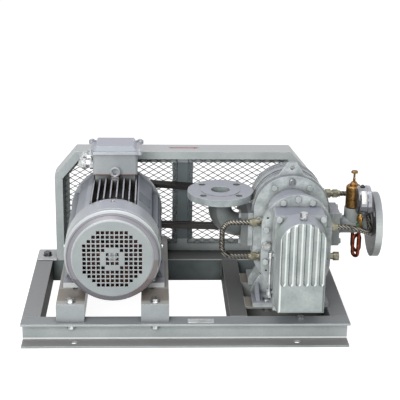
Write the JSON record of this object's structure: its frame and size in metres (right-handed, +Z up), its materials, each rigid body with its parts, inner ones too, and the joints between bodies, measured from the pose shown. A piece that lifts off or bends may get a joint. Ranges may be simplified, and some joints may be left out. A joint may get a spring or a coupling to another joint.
{
  "type": "belt-driven rotary lobe blower set",
  "caption": "Rotary lobe blower driven through belts by an electric motor, on a channel skid with a mesh belt guard, flanged inlet and outlet, relief valve and pressure gauge.",
  "frame": {"origin": "on the floor, at the centre of the skid's four anchor holes", "axes": "+X to the discharge flange, +Y from the oil box towards the belt guard, +Z up"},
  "size_m": [0.892, 0.575, 0.423],
  "materials": {
    "skid_paint": "satin",
    "machine_paint": "satin",
    "motor_paint": "satin",
    "guard_paint": "satin",
    "mesh_paint": "satin",
    "zinc_steel": "satin",
    "bare_steel": "machined",
    "bearing_steel": "ground",
    "core_iron": "laminated",
    "copper": "drawn",
    "brass": "turned",
    "bare_aluminium": "satin",
    "belt_rubber": "matte",
    "seal_rubber": "matte",
    "fan_plastic": "moulded",
    "plated_steel": "plated",
    "dial_white": "printed",
    "pointer_black": "matte",
    "clear_glass": "polished",
    "braid_steel": "braided"
  },
  "bodies": {
    "machine": {"skid_front_rail": "skid_paint", "skid_rear_rail": "skid_paint", "skid_end_members": "skid_paint", "skid_cross_member": "skid_paint", "blower_supports": "skid_paint", "motor_rails": "skid_paint", "skid_bolts": "zinc_steel", "motor_frame": "motor_paint", "lifting_eye": "motor_paint", "stator_core": "core_iron", "stator_windings": "copper", "motor_fan_shield": "motor_paint", "motor_drive_shield": "motor_paint", "fan_cowl": "motor_paint", "motor_screws": "zinc_steel", "motor_bearings": "bearing_steel", "blower_bearings": "bearing_steel", "terminal_box": "motor_paint", "terminal_box_lid": "motor_paint", "cable_glands": "zinc_steel", "blank_plates": "bare_aluminium", "drive_belts": "belt_rubber", "guard_frame": "guard_paint", "guard_strut": "guard_paint", "guard_mesh": "mesh_paint", "front_end_plate": "machine_paint", "blower_casing": "machine_paint", "rear_end_plate": "machine_paint", "rear_bearing_cover": "machine_paint", "shaft_seals": "seal_rubber", "gear_case": "machine_paint", "gear_case_cover": "machine_paint", "fluted_cover": "machine_paint", "blower_screws": "zinc_steel", "blower_plugs": "zinc_steel", "oil_glass_bezel": "brass", "oil_glass_lens": "clear_glass", "inlet_elbow": "machine_paint", "discharge_pipe": "machine_paint", "relief_valve_body": "brass", "gauge_case": "plated_steel", "gauge_dial": "dial_white", "gauge_lens": "clear_glass", "gauge_cock": "brass", "gauge_siphon": "copper", "hose_fittings": "zinc_steel", "oil_hoses": "braid_steel"},
    "motor_rotor": {"motor_shaft": "bare_steel", "rotor_core": "core_iron", "cooling_fan": "fan_plastic", "motor_pulley": "bare_steel"},
    "lower_rotor": {"drive_rotor": "bare_steel", "drive_gear": "bare_steel", "oil_slinger": "bare_steel", "blower_pulley": "bare_steel"},
    "upper_rotor": {"driven_rotor": "bare_steel", "driven_gear": "bare_steel"},
    "valve_stem": {"relief_valve_stem": "brass"},
    "cock_lever": {"gauge_cock_lever": "brass"},
    "pointer": {"gauge_pointer": "pointer_black"}
  },
  "joints": [
    {"name": "motor_spin", "type": "hinge", "parent": "machine", "child": "motor_rotor", "pos_m": [-0.178, 0, 0.221], "axis": [0, 1, 0], "continuous": true},
    {"name": "drive_rotor_spin", "type": "hinge", "parent": "machine", "child": "lower_rotor", "pos_m": [0.264, 0, 0.197], "axis": [0, 1, 0], "continuous": true},
    {"name": "driven_rotor_spin", "type": "hinge", "parent": "machine", "child": "upper_rotor", "pos_m": [0.264, 0, 0.293], "axis": [0, 1, 0], "continuous": true},
    {"name": "relief_stem_lift", "type": "slide", "parent": "machine", "child": "valve_stem", "axis": [0, 0, 1], "range_m": [0, 0.004], "stiffness_N_per_m": 2000, "springref_m": -0.005},
    {"name": "gauge_cock_turn", "type": "hinge", "parent": "machine", "child": "cock_lever", "pos_m": [0.435, -0.101, 0.262], "axis": [0, 1, 0], "range_deg": [0, 90]},
    {"name": "gauge_pointer_turn", "type": "hinge", "parent": "machine", "child": "pointer", "pos_m": [0.449, -0.093, 0.329], "axis": [-1, 0, 0], "range_deg": [0, 270], "stiffness_Nm_per_rad": 0.002}
  ],
  "couplings": [
    {"joint": "drive_rotor_spin", "follows": "motor_spin", "ratio": 1.1923},
    {"joint": "driven_rotor_spin", "follows": "motor_spin", "ratio": -1.1923}
  ]
}
